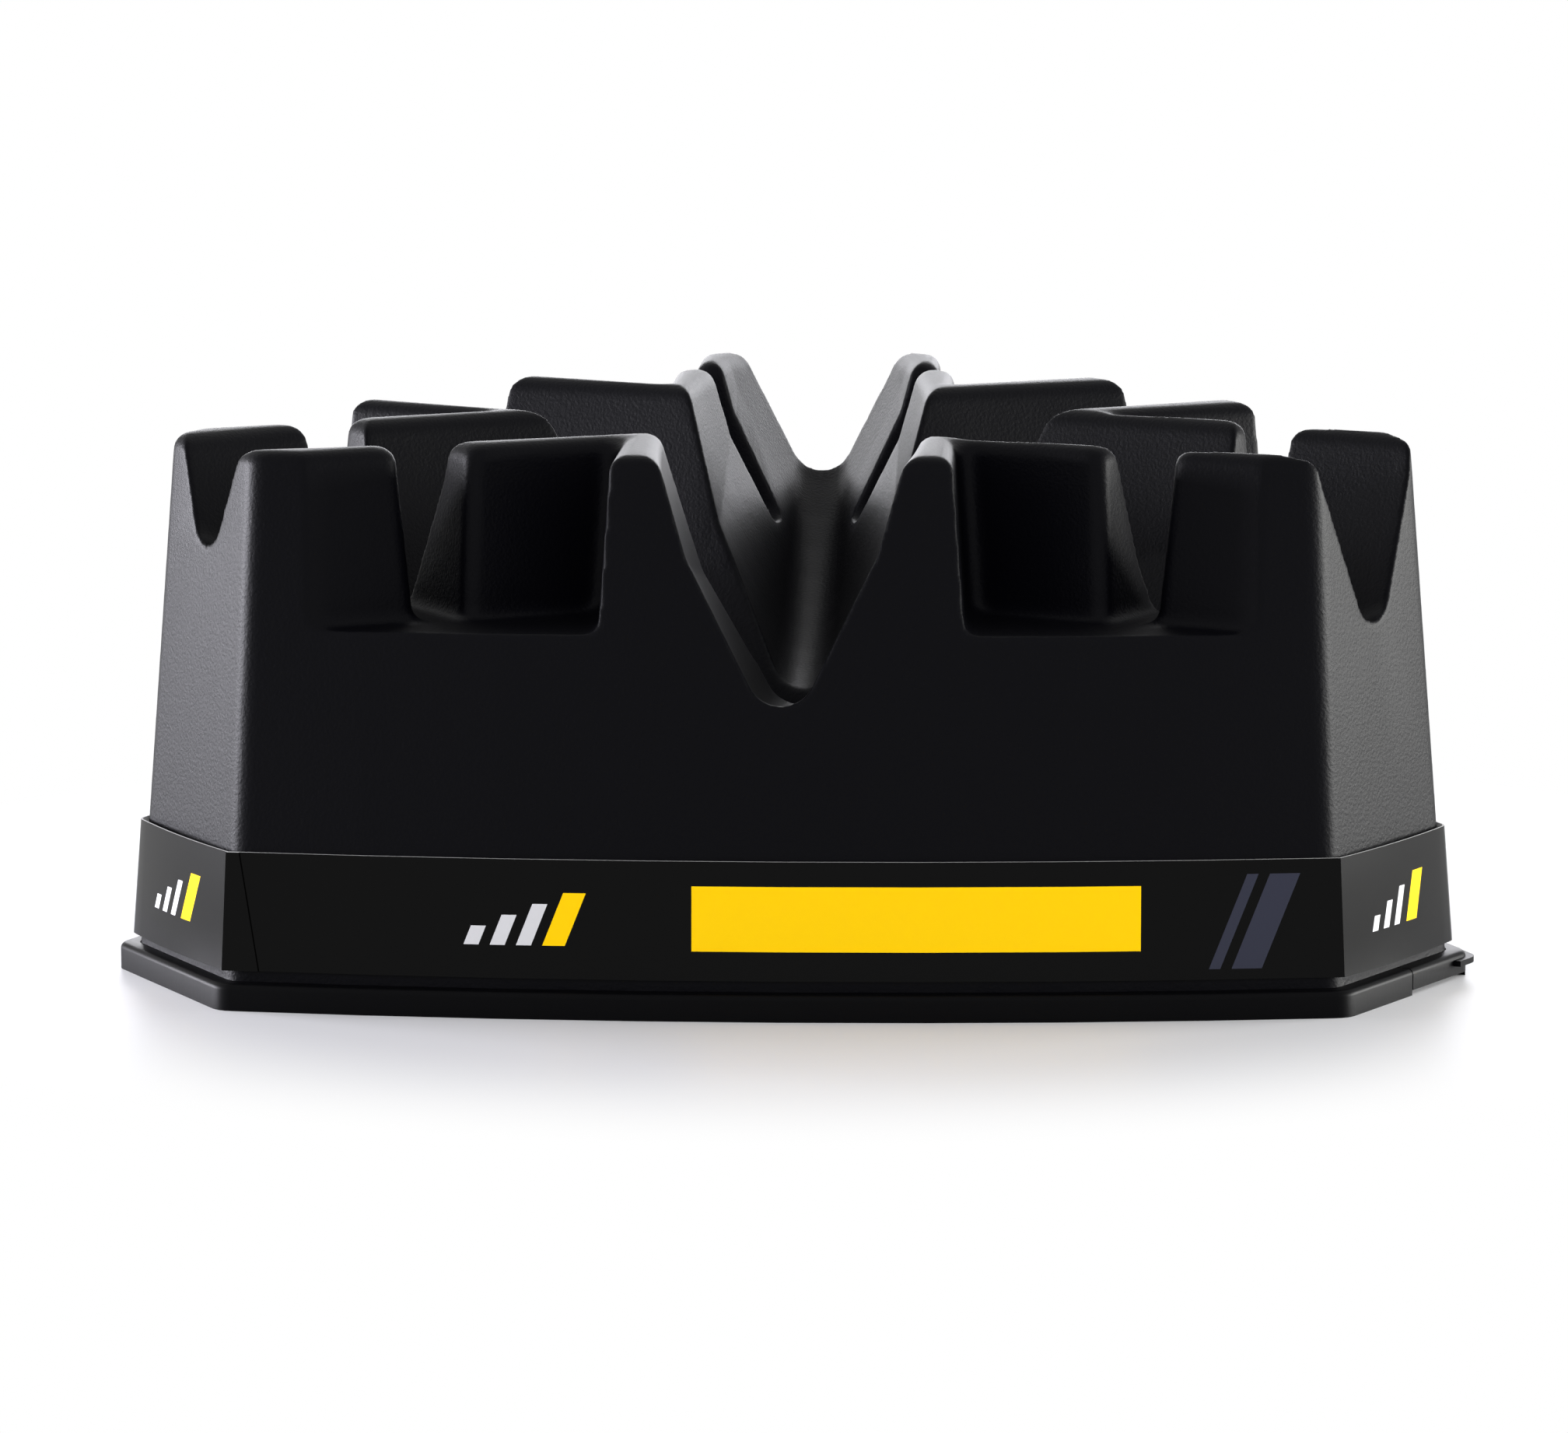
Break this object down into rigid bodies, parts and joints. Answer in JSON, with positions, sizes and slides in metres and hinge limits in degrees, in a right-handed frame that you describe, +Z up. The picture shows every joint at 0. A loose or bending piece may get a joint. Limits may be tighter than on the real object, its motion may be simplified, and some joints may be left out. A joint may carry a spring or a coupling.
{
  "type": "bike trainer front riser block",
  "caption": "Moulded six-sided riser block that holds a bicycle's front wheel at one of several heights, with an edge strip and a removable card band.",
  "frame": {"origin": "middle of the bounding box in X and Y, on the floor", "axes": "+Z up, -Y towards the front long side, +X along that side to the right seen from the front"},
  "size_m": [0.3711, 0.3324, 0.148],
  "materials": {
    "moulding": "fine-textured satin black moulding",
    "strip": "smooth satin black rubber",
    "card": "printed card, glossy black with a pale cut edge"
  },
  "bodies": {
    "block": {"block_shell": "moulding", "rubber_strip": "strip"},
    "band": {"card_band": "card"}
  },
  "joints": [
    {"name": "band_lift", "type": "slide", "parent": "block", "child": "band", "axis": [0, 0, 1], "range_m": [0, 0.15]}
  ]
}
